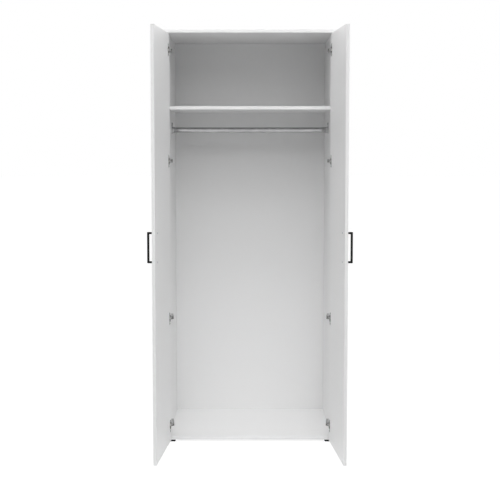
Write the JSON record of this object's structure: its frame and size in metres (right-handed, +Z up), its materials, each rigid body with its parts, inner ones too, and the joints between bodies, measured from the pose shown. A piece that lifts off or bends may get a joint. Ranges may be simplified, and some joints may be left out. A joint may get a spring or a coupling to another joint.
{
  "type": "wardrobe",
  "caption": "Tall wardrobe of flat boards with hinged doors on concealed cup hinges, bow handles, a hat shelf and a clothes rail, shown with its doors open.",
  "frame": {"origin": "on the floor, at the middle of the space that the wardrobe takes with its doors open", "axes": "+Z up, -Y towards the front, +X to the right of someone facing the wardrobe"},
  "size_m": [0.9, 0.9203, 1.95],
  "materials": {
    "white_board": "satin white melamine on chipboard",
    "white_fibreboard": "white lacquered fibreboard, bare behind",
    "nickel_steel": "nickel-plated pressed steel",
    "spring_steel": "bare spring steel",
    "zinc_plate": "bright zinc-plated steel",
    "zinc_cast": "bare die-cast zinc",
    "chrome_tube": "polished chrome on steel tube",
    "chrome_cast": "chromed die-casting",
    "beech": "bare beech",
    "black_metal": "matt black powder coat",
    "black_plastic": "moulded black plastic"
  },
  "bodies": {
    "carcase": {"left_side_panel": "white_board", "right_side_panel": "white_board", "top_panel": "white_board", "bottom_panel": "white_board", "hat_shelf": "white_board", "back_panel": "white_fibreboard", "back_panel_nails": "zinc_plate", "cam_locks": "zinc_cast", "cam_bolts": "zinc_plate", "wooden_dowels": "beech", "left_front_foot": "black_plastic", "right_front_foot": "black_plastic", "left_rear_foot": "black_plastic", "right_rear_foot": "black_plastic", "clothes_rail": "chrome_tube", "left_rail_bracket": "chrome_cast", "right_rail_bracket": "chrome_cast", "panel_screws": "nickel_steel", "arm_screws": "nickel_steel", "arm_pins": "nickel_steel", "left_bottom_hinge_plate": "nickel_steel", "left_bottom_hinge_arm": "nickel_steel", "left_lower_hinge_plate": "nickel_steel", "left_lower_hinge_arm": "nickel_steel", "left_upper_hinge_plate": "nickel_steel", "left_upper_hinge_arm": "nickel_steel", "left_top_hinge_plate": "nickel_steel", "left_top_hinge_arm": "nickel_steel", "right_bottom_hinge_plate": "nickel_steel", "right_bottom_hinge_arm": "nickel_steel", "right_lower_hinge_plate": "nickel_steel", "right_lower_hinge_arm": "nickel_steel", "right_upper_hinge_plate": "nickel_steel", "right_upper_hinge_arm": "nickel_steel", "right_top_hinge_plate": "nickel_steel", "right_top_hinge_arm": "nickel_steel"},
    "left_outer_links": {"left_outer_links": "nickel_steel"},
    "left_inner_links": {"left_inner_links": "nickel_steel"},
    "left_door": {"left_door": "white_board", "left_handle": "black_metal", "left_handle_screws": "zinc_plate", "left_bottom_hinge_cup": "nickel_steel", "left_lower_hinge_cup": "nickel_steel", "left_upper_hinge_cup": "nickel_steel", "left_top_hinge_cup": "nickel_steel", "left_cup_screws": "nickel_steel", "left_cup_pins": "nickel_steel", "left_cup_springs": "spring_steel"},
    "right_outer_links": {"right_outer_links": "nickel_steel"},
    "right_inner_links": {"right_inner_links": "nickel_steel"},
    "right_door": {"right_door": "white_board", "right_handle": "black_metal", "right_handle_screws": "zinc_plate", "right_bottom_hinge_cup": "nickel_steel", "right_lower_hinge_cup": "nickel_steel", "right_upper_hinge_cup": "nickel_steel", "right_top_hinge_cup": "nickel_steel", "right_cup_screws": "nickel_steel", "right_cup_pins": "nickel_steel", "right_cup_springs": "spring_steel"}
  },
  "joints": [
    {"name": "left_outer_link_pivot", "type": "hinge", "parent": "carcase", "child": "left_outer_links", "pos_m": [-0.3665, -0.05481, 0.972], "axis": [0, 0, 1], "range_deg": [-35.01, 0]},
    {"name": "left_door_hinge", "type": "hinge", "parent": "left_outer_links", "child": "left_door", "pos_m": [-0.37866, -0.07492, 0.972], "axis": [0, 0, 1], "range_deg": [0, 130]},
    {"name": "left_inner_link_pivot", "type": "hinge", "parent": "left_door", "child": "left_inner_links", "pos_m": [-0.38308, -0.07494, 0.972], "axis": [0, 0, 1], "range_deg": [-119.96, 0]},
    {"name": "right_outer_link_pivot", "type": "hinge", "parent": "carcase", "child": "right_outer_links", "pos_m": [0.3665, -0.05481, 0.972], "axis": [0, 0, -1], "range_deg": [-35.01, 0]},
    {"name": "right_door_hinge", "type": "hinge", "parent": "right_outer_links", "child": "right_door", "pos_m": [0.37866, -0.07492, 0.972], "axis": [0, 0, -1], "range_deg": [0, 130]},
    {"name": "right_inner_link_pivot", "type": "hinge", "parent": "right_door", "child": "right_inner_links", "pos_m": [0.38308, -0.07494, 0.972], "axis": [0, 0, -1], "range_deg": [-119.96, 0]}
  ],
  "couplings": [
    {"joint": "left_outer_link_pivot", "follows": "left_door_hinge", "ratio": -0.26923},
    {"joint": "left_inner_link_pivot", "follows": "left_door_hinge", "ratio": -0.92276},
    {"joint": "right_outer_link_pivot", "follows": "right_door_hinge", "ratio": -0.26923},
    {"joint": "right_inner_link_pivot", "follows": "right_door_hinge", "ratio": -0.92276}
  ]
}
